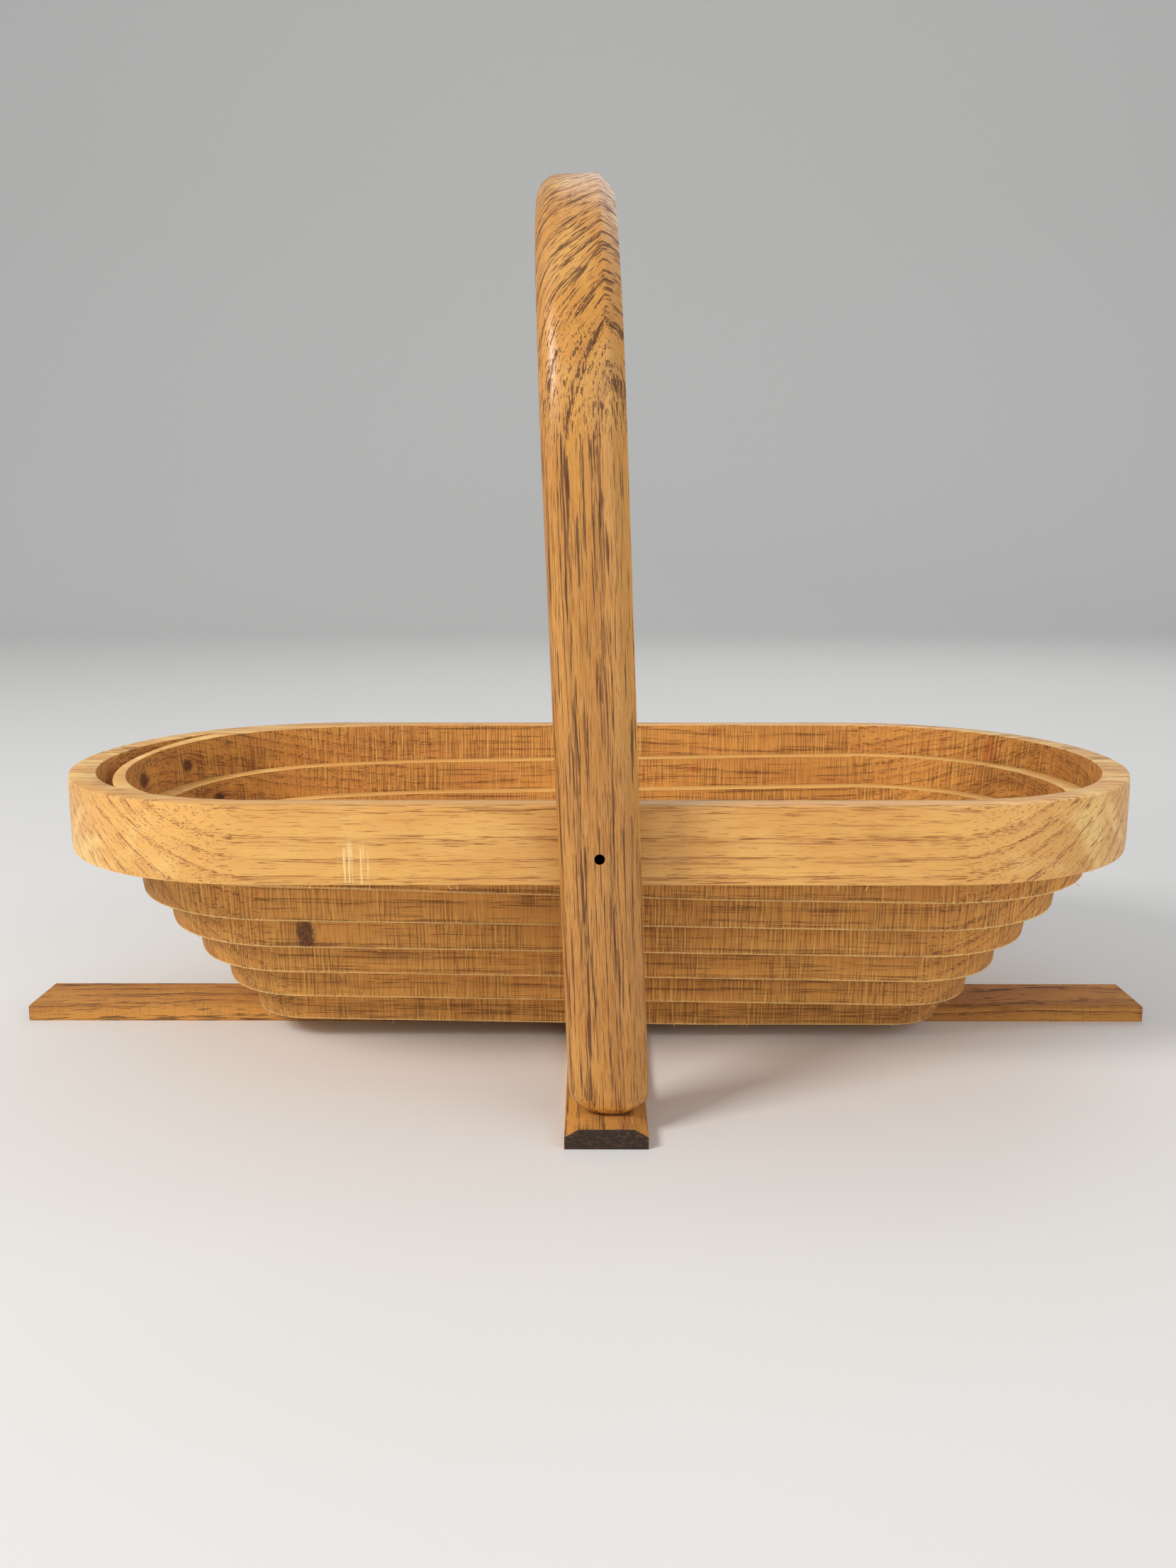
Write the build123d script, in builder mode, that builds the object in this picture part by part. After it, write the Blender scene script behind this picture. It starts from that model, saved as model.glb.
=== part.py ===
from build123d import *
from math import atan2, cos, degrees, floor, pi, radians, sin, sqrt, tan
import os

os.makedirs("parts", exist_ok=True)

# Board and basket outline
board_t = 20.0
basket_half_l = 151.2
basket_half_w = 75.0
corner_r = 64.0
end_bulge = 24.0
rim_shift = 3.8
rim_w = 7.4

# Spiral cut
kerf = 1.4
pitch = 7.6
bevel_deg = 5.0
lean = board_t * tan(radians(bevel_deg))
slot_extra = 3.8
mid_offset = 28.0

# Shares of one turn, counted from the middle of the back towards the left end
jog_share = 0.0837
root_share = 0.1896
slot_peak_share = 0.06
slot_end_share = 0.17
long_link_share = 0.1788
links_between_jogs = 5
half_link_share = 0.5
quick_links = 2
full_turns = 5

# Heights
bar_h = 5.0
total_drop = 54.0
quick_drop = 6.6
base_top = bar_h + board_t
rim_top = base_top + total_drop
rim_bottom = rim_top - board_t
pivot_z = rim_top - board_t / 2

# Handle
handle_gap = 1.5
leg_t = 12.5
crown_t = 16.0
handle_outer_corner_r = 76.0
handle_outer_end_r = 108.0
handle_edge_r = 3.6
handle_lean_deg = 2.2
foot_corner_r = 8.5
foot_clear = 6.6
foot_edge_count = 4

# Foot bars
bar_w = 20.0
long_bar_l = 334.0
short_bar_l = 190.0
short_bar_shift = 5.5
bar_side_h = 3.0
bar_chamfer_w = 3.4
long_bar_edge = 0.6
lap_h = bar_h / 2

# Nails and screws
nail_r = 1.0
nail_head_r = 1.25
nail_head_t = 0.7
nail_grip = 5.0
nail_running_gap = 0.05
screw_r = 1.6
screw_head_r = 3.1
screw_head_t = 1.9
screw_l = 15.0
screw_long_share = 0.66
screw_edge_gap = 0.5

# Clearances and section spacing
link_gap = 0.12
section_step_deg = 11.0
jog_steps = 5
small_share = 0.0001
near_share = 0.4
overrun = 2.0

end_r = corner_r + end_bulge
corner_y = basket_half_w - corner_r
end_x = basket_half_l - end_r
corner_x = end_x + sqrt((end_r - corner_r) ** 2 - corner_y**2)
split_deg = degrees(atan2(corner_y, corner_x - end_x))
quarter_deg = degrees(pi / 2)
half_turn_deg = degrees(pi)

# One lap of the outline as runs: kind, centre or start, radius, start angle, sweep
corner_sweep = quarter_deg - split_deg
runs = [
    ("line", (0, 1), corner_x, quarter_deg, 0),
    ("arc", (-1, 1), corner_r, quarter_deg, corner_sweep),
    ("end", (-1, 0), end_r, half_turn_deg - split_deg, split_deg + split_deg),
    ("arc", (-1, -1), corner_r, half_turn_deg + split_deg, corner_sweep),
    ("line", (-1, -1), corner_x + corner_x, -quarter_deg, 0),
    ("arc", (1, -1), corner_r, -quarter_deg, corner_sweep),
    ("end", (1, 0), end_r, -split_deg, split_deg + split_deg),
    ("arc", (1, 1), corner_r, split_deg, corner_sweep),
    ("line", (1, 1), corner_x, quarter_deg, 0),
]


def run_length(run):
    kind, side, size, start, sweep = run
    return size if kind == "line" else (size - mid_offset) * radians(sweep)


lap = sum(run_length(run) for run in runs)
run_ends = [0.0]
for run in runs:
    run_ends.append(run_ends[-1] + run_length(run) / lap)


def outline_at(u):
    """Point on the rim's outer face and the outward direction there, u counted in turns."""
    share = u - floor(u)
    index = max(i for i in range(len(runs)) if run_ends[i] <= share)
    kind, side, size, start, sweep = runs[index]
    done = share - run_ends[index]
    if kind == "line":
        x = side[0] * corner_x - side[1] * done * lap
        return (x, side[1] * basket_half_w), (0, side[1])
    angle = radians(start + sweep * done / (run_ends[index + 1] - run_ends[index]))
    centre_x = side[0] * (end_x if kind == "end" else corner_x)
    out = (cos(angle), sin(angle))
    return (centre_x + size * out[0], side[1] * corner_y + size * out[1]), out


def turns_in(u):
    """How many pitches inwards the cut lies at u."""
    turn = floor(u - root_share)
    into = u - root_share - turn
    start = 1 - (root_share - jog_share)
    if into > start:
        done = (into - start) / (1 - start)
        turn += done * done * (3 - 2 * done)
    return turn


def slot_at(t):
    """Extra width of the first cut where it opens into a slot."""
    if t < slot_peak_share:
        return slot_extra * sin(t / slot_peak_share * pi / 2)
    if t < slot_end_share:
        return slot_extra * (1 + cos((t - slot_peak_share) / (slot_end_share - slot_peak_share) * pi)) / 2
    return 0.0


quick_share = quick_links * long_link_share
strip_turns = full_turns + quick_links * long_link_share


def drop_at(t):
    """Fall of the strip below the rim after t turns."""
    if t < quick_share:
        return quick_drop * t / quick_share
    return quick_drop + (total_drop - quick_drop) * (t - quick_share) / (strip_turns - quick_share)


def section_at(u):
    (x, y), out = outline_at(u)
    tangent = (-out[1], out[0])
    return Plane(origin=(x + rim_shift, y, 0), x_dir=(-out[0], -out[1], 0), z_dir=(*tangent, 0))


def stations(u1, u2):
    """Positions of the cross-sections in each run of the outline between u1 and u2."""
    breaks = sorted(n + end for n in range(full_turns + 2) for end in run_ends[1:-1])
    inner = [b for b in breaks if u1 + small_share < b < u2 - small_share]
    points = [u1, *inner, u2]
    for first, last in zip(points, points[1:]):
        middle = (first + last) / 2
        a1, a2 = (outline_at(middle + s * (last - first) * near_share)[1] for s in (-1, 1))
        turn = degrees(abs(atan2(a1[0] * a2[1] - a1[1] * a2[0], a1[0] * a2[0] + a1[1] * a2[1])))
        steps = max(1, round(turn / near_share / 2 / section_step_deg))
        jogs = abs(turns_in(last - small_share) - turns_in(first + small_share)) > small_share
        if jogs or first < root_share + slot_end_share:
            steps = max(steps, jog_steps)
        yield [first + (last - first) * i / steps for i in range(steps + 1)]


def band(u1, u2, outer, inner, top, mode=Mode.ADD):
    """A band along the outline between two offsets, with leaning faces, in builder mode."""
    for points in stations(u1, u2):
        sections = []
        for u in points:
            o1, o2, z = outer(u), inner(u), top(u)
            with BuildSketch(section_at(u)) as section:
                Polygon(
                    (o1[0], z), (o1[1], z - board_t), (o2[1], z - board_t), (o2[0], z), align=None
                )
            sections.append(section.sketch)
        loft(sections, ruled=len(points) < 3, mode=mode)


def draw_outline(half_l, half_w, r_corner, r_end, left_only=False):
    """The basket outline, or its left half with straight sides, as a closed line."""
    y1 = half_w - r_corner
    x0 = half_l - r_end
    x1 = x0 + sqrt((r_end - r_corner) ** 2 - y1**2)
    cut = degrees(atan2(y1, x1 - x0))
    sweep = quarter_deg - cut
    CenterArc((-x1, y1), r_corner, quarter_deg, sweep)
    CenterArc((-x0, 0), r_end, half_turn_deg - cut, cut + cut)
    CenterArc((-x1, -y1), r_corner, half_turn_deg + cut, sweep)
    if left_only:
        return x1
    Line((-x1, -half_w), (x1, -half_w))
    CenterArc((x1, -y1), r_corner, -quarter_deg, sweep)
    CenterArc((x0, 0), r_end, -cut, cut + cut)
    CenterArc((x1, y1), r_corner, cut, sweep)
    Line((x1, half_w), (-x1, half_w))
    return x1


# Rim, with the root of the strip at its back left
with BuildPart() as rim:
    band(
        root_share,
        root_share + 1,
        lambda u: (-overrun, -overrun),
        lambda u: (rim_w + pitch * turns_in(u), rim_w + pitch * turns_in(u) + lean),
        lambda u: rim_top,
    )
    with BuildSketch(Plane.XY.offset(rim_bottom).move(Location((rim_shift, 0, 0)))):
        with BuildLine():
            draw_outline(basket_half_l, basket_half_w, corner_r, end_r)
        make_face()
    extrude(amount=board_t, mode=Mode.INTERSECT)
    for side in (-1, 1):
        with Locations((rim_shift, side * basket_half_w, pivot_z)):
            Cylinder(nail_r, 2 * nail_grip, rotation=(quarter_deg, 0, 0), mode=Mode.SUBTRACT)
rim.part.label = "rim"
export_step(rim.part, "parts/rim.step")

# Base plate, with the inner end of the strip running into its front edge
base_offset = rim_w + kerf + full_turns * pitch
base_end = root_share + strip_turns
screw_long_x = (basket_half_l - base_offset - pitch) * screw_long_share
screw_short_y = bar_w / 2 + screw_head_r + screw_edge_gap
with BuildPart() as base_plate:
    with BuildSketch(Plane.XY.offset(base_top).move(Location((rim_shift, 0, 0)))):
        with BuildLine():
            draw_outline(
                basket_half_l - base_offset,
                basket_half_w - base_offset,
                corner_r - base_offset,
                end_r - base_offset,
            )
        make_face()
    with BuildSketch(Plane.XY.offset(bar_h).move(Location((rim_shift, 0, 0)))):
        with BuildLine():
            low = base_offset + lean
            draw_outline(basket_half_l - low, basket_half_w - low, corner_r - low, end_r - low)
        make_face()
    loft(ruled=True)
    band(
        root_share + full_turns - (root_share - jog_share) + small_share,
        base_end,
        lambda u: (base_offset - overrun, base_offset + lean - overrun),
        lambda u: (
            base_offset + pitch * (turns_in(u) - full_turns + 1),
            base_offset + pitch * (turns_in(u) - full_turns + 1) + lean,
        ),
        lambda u: base_top,
        Mode.SUBTRACT,
    )
    with Locations(
        *[(x, 0, bar_h) for x in (-screw_long_x, screw_long_x)],
        *[(short_bar_shift, y, bar_h) for y in (-screw_short_y, screw_short_y)],
    ):
        Cylinder(screw_r, 2 * (screw_l - bar_h), mode=Mode.SUBTRACT)
base_plate.part.label = "base_plate"
export_step(base_plate.part, "parts/base_plate.step")

# Strip, cut into links that follow the rim
cuts = []
for turn in range(full_turns + 1):
    marks = [turn + i * long_link_share for i in range(links_between_jogs + 1)]
    if turn == 0:
        marks += [(i + half_link_share) * long_link_share for i in range(quick_links)]
    if turn == full_turns:
        marks.append(turn + (quick_links - half_link_share) * long_link_share)
    cuts += [m for m in marks if m < strip_turns + small_share]
cuts = sorted(cuts)


def strip_outer(u):
    return rim_w + kerf + pitch * turns_in(u) + slot_at(u - root_share)


def strip_inner(u):
    return rim_w + pitch + pitch * turns_in(u)


for number, (t1, t2) in enumerate(zip(cuts, cuts[1:]), start=1):
    name = f"strip_{number:02d}"
    trim = link_gap / lap / 2
    with BuildPart() as strip:
        band(
            root_share + t1 + trim,
            root_share + t2 - trim,
            lambda u: (strip_outer(u), strip_outer(u) + lean),
            lambda u: (strip_inner(u), strip_inner(u) + lean),
            lambda u: rim_top - drop_at(u - root_share),
        )
    strip.part.label = name
    export_step(strip.part, f"parts/{name}.step")

# Handle, an arch with its two legs standing on the short foot bar
leg_outer = basket_half_w + handle_gap + leg_t
crown_outer = basket_half_l + handle_gap + crown_t
leg_l = pivot_z - bar_h - foot_clear
lean_x = sin(radians(handle_lean_deg))
lean_z = cos(radians(handle_lean_deg))
side_plane = Plane(origin=(rim_shift, 0, pivot_z), x_dir=(lean_x, 0, -lean_z), z_dir=(lean_z, 0, lean_x))
with BuildPart() as handle:
    with BuildSketch(side_plane):
        with BuildLine():
            top = draw_outline(
                crown_outer, leg_outer, handle_outer_corner_r, handle_outer_end_r, left_only=True
            )
            Line((-top, leg_outer), (leg_l, leg_outer))
            Line((leg_l, leg_outer), (leg_l, -leg_outer))
            Line((leg_l, -leg_outer), (-top, -leg_outer))
        make_face()
        with BuildLine():
            inner_half = basket_half_w + handle_gap
            top = draw_outline(
                basket_half_l + handle_gap,
                inner_half,
                corner_r + handle_gap,
                end_r + handle_gap,
                left_only=True,
            )
            Line((-top, inner_half), (leg_l + overrun, inner_half))
            Line((leg_l + overrun, inner_half), (leg_l + overrun, -inner_half))
            Line((leg_l + overrun, -inner_half), (-top, -inner_half))
        make_face(mode=Mode.SUBTRACT)
    extrude(amount=board_t / 2, both=True)
    foot_edges = handle.edges().filter_by(Axis.Y).sort_by(Axis.Z)[:foot_edge_count]
    fillet(foot_edges, radius=foot_corner_r)
    side_1, side_2 = handle.faces().sort_by(SortBy.AREA)[-2:]
    fillet(side_1.edges() + side_2.edges(), radius=handle_edge_r)
    for side in (-1, 1):
        with Locations((rim_shift, side * (leg_outer - leg_t / 2), pivot_z)):
            Cylinder(nail_r + nail_running_gap, leg_t + overrun, rotation=(quarter_deg, 0, 0),
                     mode=Mode.SUBTRACT)
        with Locations((rim_shift, side * leg_outer, pivot_z)):
            Cylinder(nail_head_r + nail_running_gap, 2 * (nail_head_t + nail_running_gap),
                     rotation=(quarter_deg, 0, 0), mode=Mode.SUBTRACT)
handle.part.label = "handle"
export_step(handle.part, "parts/handle.step")

# Nails that the handle turns on
with BuildPart() as pivot_nails:
    for side in (-1, 1):
        inside = basket_half_w - nail_grip
        with Locations((rim_shift, side * (leg_outer + inside) / 2, pivot_z)):
            Cylinder(nail_r, leg_outer - inside, rotation=(quarter_deg, 0, 0))
        with Locations((rim_shift, side * (leg_outer - nail_head_t / 2), pivot_z)):
            Cylinder(nail_head_r, nail_head_t, rotation=(quarter_deg, 0, 0))
pivot_nails.part.label = "pivot_nails"
export_step(pivot_nails.part, "parts/pivot_nails.step")


def screw_cut(x, y):
    """Hole with a countersink from below for one screw."""
    with Locations((x, y, bar_h / 2)):
        Cylinder(screw_r, bar_h, mode=Mode.SUBTRACT)
    with Locations((x, y, screw_head_t / 2)):
        Cone(screw_head_r, screw_r, screw_head_t, mode=Mode.SUBTRACT)


# Long foot bar, notched on top at the crossing
with BuildPart() as long_foot_bar:
    with Locations((0, 0, bar_h / 2)):
        Box(long_bar_l, bar_w, bar_h)
    chamfer(long_foot_bar.faces().sort_by(Axis.Z)[-1].edges(), length=long_bar_edge)
    with Locations((short_bar_shift, 0, lap_h + lap_h)):
        Box(bar_w, bar_w, lap_h + lap_h, mode=Mode.SUBTRACT)
    screw_cut(-screw_long_x, 0)
    screw_cut(screw_long_x, 0)
long_foot_bar.part.label = "long_foot_bar"
export_step(long_foot_bar.part, "parts/long_foot_bar.step")

# Short foot bar, notched underneath at the crossing
with BuildPart() as short_foot_bar:
    half = bar_w / 2
    shoulder = half - bar_chamfer_w
    with BuildSketch(Plane(origin=(short_bar_shift, 0, 0), x_dir=(1, 0, 0), z_dir=(0, -1, 0))):
        Polygon(
            (-half, 0), (half, 0), (half, bar_side_h), (shoulder, bar_h), (-shoulder, bar_h),
            (-half, bar_side_h), align=None,
        )
    extrude(amount=short_bar_l / 2, both=True)
    with Locations((short_bar_shift, 0, 0)):
        Box(bar_w + overrun, bar_w, lap_h + lap_h, mode=Mode.SUBTRACT)
    screw_cut(short_bar_shift, -screw_short_y)
    screw_cut(short_bar_shift, screw_short_y)
short_foot_bar.part.label = "short_foot_bar"
export_step(short_foot_bar.part, "parts/short_foot_bar.step")

# Countersunk screws that hold the bars to the base
with BuildPart() as foot_screws:
    for x, y in (
        (-screw_long_x, 0), (screw_long_x, 0), (short_bar_shift, -screw_short_y), (short_bar_shift, screw_short_y)
    ):
        with Locations((x, y, screw_l / 2)):
            Cylinder(screw_r, screw_l)
        with Locations((x, y, screw_head_t / 2)):
            Cone(screw_head_r, screw_r, screw_head_t)
foot_screws.part.label = "foot_screws"
export_step(foot_screws.part, "parts/foot_screws.step")
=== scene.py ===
from math import atan2, ceil, cos, floor, pi, radians, sin, sqrt, tan

import bpy
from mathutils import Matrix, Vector, noise


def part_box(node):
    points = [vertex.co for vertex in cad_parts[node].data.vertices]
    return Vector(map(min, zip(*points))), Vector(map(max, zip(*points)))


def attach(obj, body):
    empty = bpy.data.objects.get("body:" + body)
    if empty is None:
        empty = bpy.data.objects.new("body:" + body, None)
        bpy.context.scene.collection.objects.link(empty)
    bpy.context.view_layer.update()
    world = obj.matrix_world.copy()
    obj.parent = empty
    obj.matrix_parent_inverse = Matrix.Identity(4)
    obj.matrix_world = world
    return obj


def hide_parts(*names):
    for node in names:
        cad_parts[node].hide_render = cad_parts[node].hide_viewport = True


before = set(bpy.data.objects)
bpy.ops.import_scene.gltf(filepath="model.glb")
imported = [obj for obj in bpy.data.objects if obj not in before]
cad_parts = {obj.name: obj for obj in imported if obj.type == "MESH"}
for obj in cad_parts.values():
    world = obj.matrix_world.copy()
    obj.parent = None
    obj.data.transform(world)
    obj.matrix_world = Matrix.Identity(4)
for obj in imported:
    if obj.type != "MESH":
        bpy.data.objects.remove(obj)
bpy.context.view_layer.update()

MM = 0.001

# Sizes in millimetres; the outer ones come from the frame's boxes
rim_low, rim_high = (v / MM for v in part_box("rim"))
base_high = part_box("base_plate")[1] / MM
bar_low, bar_high = (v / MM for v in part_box("short_foot_bar"))
HALF_L = (rim_high.x - rim_low.x) / 2
HALF_W = (rim_high.y - rim_low.y) / 2
SHIFT = (rim_high.x + rim_low.x) / 2
BOARD_T = rim_high.z - rim_low.z
RIM_TOP = rim_high.z
BASE_TOP = base_high.z
DROP = RIM_TOP - BASE_TOP
PIVOT_Z = RIM_TOP - BOARD_T / 2
BAR_TOP = bar_high.z
BAR_MIDDLE = (bar_high.x + bar_low.x) / 2

# Outline, the same arcs as the board's
CORNER_R = 64.0
END_R = 88.0
CORNER_Y = HALF_W - CORNER_R
END_X = HALF_L - END_R
CORNER_X = END_X + sqrt((END_R - CORNER_R) ** 2 - CORNER_Y**2)
SPLIT = atan2(CORNER_Y, CORNER_X - END_X)
MID_OFFSET = 28.0

# Spiral cut, in millimetres and turns; CLOSER narrows it, so the pieces nearly touch
RIM_W = 7.4
PITCH = 7.6
KERF = 1.4
CLOSER = 0.18
LEAN = BOARD_T * tan(radians(5.0))
JOG = 0.0837  # every turn starts to step inwards here
ROOT = 0.1896  # the cut starts here, and every step ends here
SLOT_EXTRA = 3.8  # the cut's wide start
SLOT_PEAK = 0.06
SLOT_END = 0.17
LINK = 0.1788
LINKS_BETWEEN_JOGS = 5
QUICK_LINKS = 2  # the first links drop faster than the rest
QUICK_DROP = 6.6
TURNS = 5
STRIP_TURNS = TURNS + QUICK_LINKS * LINK
STEP = 2.4
END_GAP = 0.02
ROUNDING = 1e-9
HAIR = 1e-6

# Sections, with edges given as outer top, outer low, inner low and inner top
LEVEL_COUNT = 8
ARRIS_SHARE = 0.3
WAVE_ALONG = 0.45
WAVE_UP = 0.11
BASE_WAVE_UP = 2.0
SHARP = radians(38)
RIM_EDGES = (0.8, 0.6, 0.4, 0.5)
SAWN_EDGES = (0.45, 0.45, 0.45, 0.45)
RIM_ROUGH = 0.03
SAWN_ROUGH = 0.05
BASE_EDGE = ((0.0, 0.5), (0.03, 0.0), (0.25, 0.0), (0.5, 0.0), (0.75, 0.0), (0.97, 0.0), (1.0, 0.5))

# Share of the low edge's points that carry a torn fibre, and how far they keep from bars and legs
FRAY_CLEAR = 15.0
RIM_FRAY = 0.06
STRIP_FRAY = 0.22
BASE_FRAY = 0.2

# Handle
HANDLE_GAP = 1.5
LEG_T = 12.5
CROWN_T = 15.95
LEAN_BACK = radians(2.2)
OUTER_CORNER_R = 76.0
OUTER_END_R = 108.0
EDGE_R = 4.0
EDGE_LEFT_R = 5.6
SANDED_OFF = 0.3
SOLE_R = 2.4
FACET = 0.8
FOOT_GAP = 0.25
FOOT_STEPS = 14
FOOT_SHARE = 0.05
FOOT_LEFT = (7.4, 6.2)
FOOT_RIGHT = (4.6, 4.6)
ARCH_COUNTS = (52, 20, 26, 20, 52)
EDGE_STEPS = 5
HAND_WAVE = 0.12
HAND_WAVE_ALONG = 0.03
HAND_WAVE_ACROSS = 0.05

# Camera fitted to the photo's outline points
PHOTO_W = 1659
FOCAL_PX = 1850
CAMERA_MM = (2.0, -384.6, 140.9)
TILT_DOWN = 0.181
YAW = 0.003
SENSOR_MM = 36.0

# One lap of the outline as runs of (kind, side, size, start angle, sweep)
SWEEP = pi / 2 - SPLIT
RUNS = [
    ("line", (0, 1), CORNER_X, pi / 2, 0),
    ("arc", (-1, 1), CORNER_R, pi / 2, SWEEP),
    ("end", (-1, 0), END_R, pi - SPLIT, 2 * SPLIT),
    ("arc", (-1, -1), CORNER_R, pi + SPLIT, SWEEP),
    ("line", (-1, -1), 2 * CORNER_X, -pi / 2, 0),
    ("arc", (1, -1), CORNER_R, -pi / 2, SWEEP),
    ("end", (1, 0), END_R, -SPLIT, 2 * SPLIT),
    ("arc", (1, 1), CORNER_R, SPLIT, SWEEP),
    ("line", (1, 1), CORNER_X, pi / 2, 0),
]
LENGTHS = [
    size if kind == "line" else (size - MID_OFFSET) * sweep for kind, _, size, _, sweep in RUNS
]
LAP = sum(LENGTHS)
ENDS = [sum(LENGTHS[:i]) / LAP for i in range(len(RUNS) + 1)]


def outline_at(u):
    """Point on the rim's outer face and the outward direction there, u counted in turns."""
    share = u - floor(u)
    i = max(k for k in range(len(RUNS)) if ENDS[k] <= share)
    kind, side, size, start, sweep = RUNS[i]
    done = share - ENDS[i]
    if kind == "line":
        x = side[0] * CORNER_X - side[1] * done * LAP
        return x, side[1] * HALF_W, 0, side[1]
    angle = start + sweep * done / (ENDS[i + 1] - ENDS[i])
    centre = side[0] * (END_X if kind == "end" else CORNER_X)
    y = side[1] * CORNER_Y + size * sin(angle)
    return centre + size * cos(angle), y, cos(angle), sin(angle)


def turns_in(u):
    """How many pitches the cut has moved in at u, stepping up smoothly near each turn's end."""
    turn = floor(u - ROOT + ROUNDING)
    into = u - ROOT - turn
    start = 1 - (ROOT - JOG)
    if into > start:
        done = (into - start) / (1 - start)
        turn += done * done * (3 - 2 * done)
    return turn


def slot_at(t):
    """Extra width of the first cut, t turns after its root."""
    if t < SLOT_PEAK:
        return SLOT_EXTRA * sin(t / SLOT_PEAK * pi / 2)
    if t < SLOT_END:
        return SLOT_EXTRA * (1 + cos((t - SLOT_PEAK) / (SLOT_END - SLOT_PEAK) * pi)) / 2
    return 0.0


def drop_at(t):
    """Depth of the strip's top below the rim's, t turns after its root."""
    quick = QUICK_LINKS * LINK
    if t < quick:
        return QUICK_DROP * t / quick
    return QUICK_DROP + (DROP - QUICK_DROP) * (t - quick) / (STRIP_TURNS - quick)


def smooth_wave(x, y, z, seed):
    """Gentle unevenness between about -1 and 1."""
    return noise.noise(Vector((x + seed, y - seed, z)))


LEVELS = [k / LEVEL_COUNT for k in range(LEVEL_COUNT + 1)]


def section_profile(o1, o2, top, lean1, edges):
    """Closed section of (offset, height, face kind), from the top outer corner down and round."""
    out_top, out_low, in_low, in_top = edges
    low = top - BOARD_T
    low1, low2 = o1 + lean1, o2 + LEAN

    def wall(start, lean, top_edge, low_edge, levels):
        points = [(start + lean * k, top - BOARD_T * k, 1) for k in levels]
        return [p for p in points if top - p[1] > top_edge and p[1] - low > low_edge]

    return [
        (o1 + out_top, top, 0),
        (o1 + out_top * ARRIS_SHARE, top - out_top * ARRIS_SHARE, 0),
        *wall(o1, lean1, out_top, out_low, LEVELS),
        (low1 + out_low * ARRIS_SHARE, low + out_low * ARRIS_SHARE, 1),
        (low1 + out_low, low, 0),
        (low2 - in_low, low, 0),
        (low2 - in_low * ARRIS_SHARE, low + in_low * ARRIS_SHARE, 1),
        *wall(o2, LEAN, in_top, in_low, LEVELS[::-1]),
        (o2 - in_top * ARRIS_SHARE, top - in_top * ARRIS_SHARE, 1),
        (o2 - in_top, top, 0),
    ]


def new_object(name, verts, faces, kinds, board, materials, path=None, frayed=None):
    """A finished piece whose points carry their place in the board and on the saw's path."""
    mesh = bpy.data.meshes.new(name)
    mesh.from_pydata([Vector(v) * MM for v in verts], [], faces)
    for m in materials:
        mesh.materials.append(m)
    mesh.polygons.foreach_set("material_index", kinds)
    mesh.polygons.foreach_set("use_smooth", [True] * len(faces))
    for label, points in (("board", board), ("path", path or board)):
        attribute = mesh.attributes.new(label, "FLOAT_VECTOR", "POINT")
        attribute.data.foreach_set("vector", [c for p in points for c in p])
    if frayed:
        mesh.attributes.new("frayed", "FLOAT", "POINT").data.foreach_set("value", frayed)
    mesh.update()
    mesh.set_sharp_from_angle(angle=SHARP)
    obj = bpy.data.objects.new(name, mesh)
    bpy.context.scene.collection.objects.link(obj)
    return obj


def bends_between(u1, u2):
    """Places strictly between two others where the outline changes its curve."""
    return [n + e for n in range(TURNS + 3) for e in ENDS[1:-1] if u1 < n + e < u2]


def steps_between(u1, u2):
    """Places along the outline at most STEP apart, with one at each change of curve."""
    marks = [u1, *bends_between(u1, u2), u2]
    us = []
    for first, last in zip(marks, marks[1:]):
        n = max(1, ceil((last - first) * LAP / STEP))
        us += [first + (last - first) * i / n for i in range(n)]
    return [*us, u2]


def tube_faces(rows, size, inside_out=False):
    """Side faces and end caps of a row of closed rings with the same number of points."""
    faces = []
    for i in range(rows - 1):
        for j in range(size):
            k = (j + 1) % size
            a, b = i * size, (i + 1) * size
            faces.append((a + k, a + j, b + j, b + k) if inside_out else (a + j, a + k, b + k, b + j))
    last = (rows - 1) * size
    first_cap, last_cap = tuple(range(size)), tuple(range(last, last + size))
    faces += [first_cap, last_cap[::-1]] if inside_out else [first_cap[::-1], last_cap]
    return faces


def band_piece(name, u1, u2, outer, inner, top, materials,
               lean1=LEAN, edges=SAWN_EDGES, rough=SAWN_ROUGH):
    """A piece of the board between two offsets along the outline, capped at both ends."""
    us = steps_between(u1, u2)
    verts, board, path, frayed = [], [], [], []
    for u in us:
        x, y, nx, ny = outline_at(u)
        z_top = top(u)
        profile = section_profile(outer(u), inner(u), z_top, lean1, edges)
        low_edge = len(profile) // 2 - 2  # the lowest point of the outer wall
        for place, (o, z, _) in enumerate(profile):
            o += rough * smooth_wave(x * WAVE_ALONG, y * WAVE_ALONG, z * WAVE_UP, seed=7.0)
            px, py = x - nx * o + SHIFT, y - ny * o
            above = z - z_top + BOARD_T
            verts.append((px, py, z))
            board.append((px, py, above))
            path.append((u * LAP, o, above))
            frayed.append(fray_at(px, py) if place == low_edge else 0.0)
    size = len(profile)
    on_wall = [p[2] for p in profile]
    kinds = [on_wall[j] * on_wall[(j + 1) % size] for j in range(size)] * (len(us) - 1) + [1, 1]
    faces = tube_faces(len(us), size)
    return new_object(name, verts, faces, kinds, board, materials, path, frayed)


def fray_at(x, y):
    """1 where splinters may hang from the low edge, 0 beside the handle and over the foot bars."""
    over_bar = abs(y) < FRAY_CLEAR or abs(x - BAR_MIDDLE) < FRAY_CLEAR
    return 0.0 if over_bar else 1.0


# Materials

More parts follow.
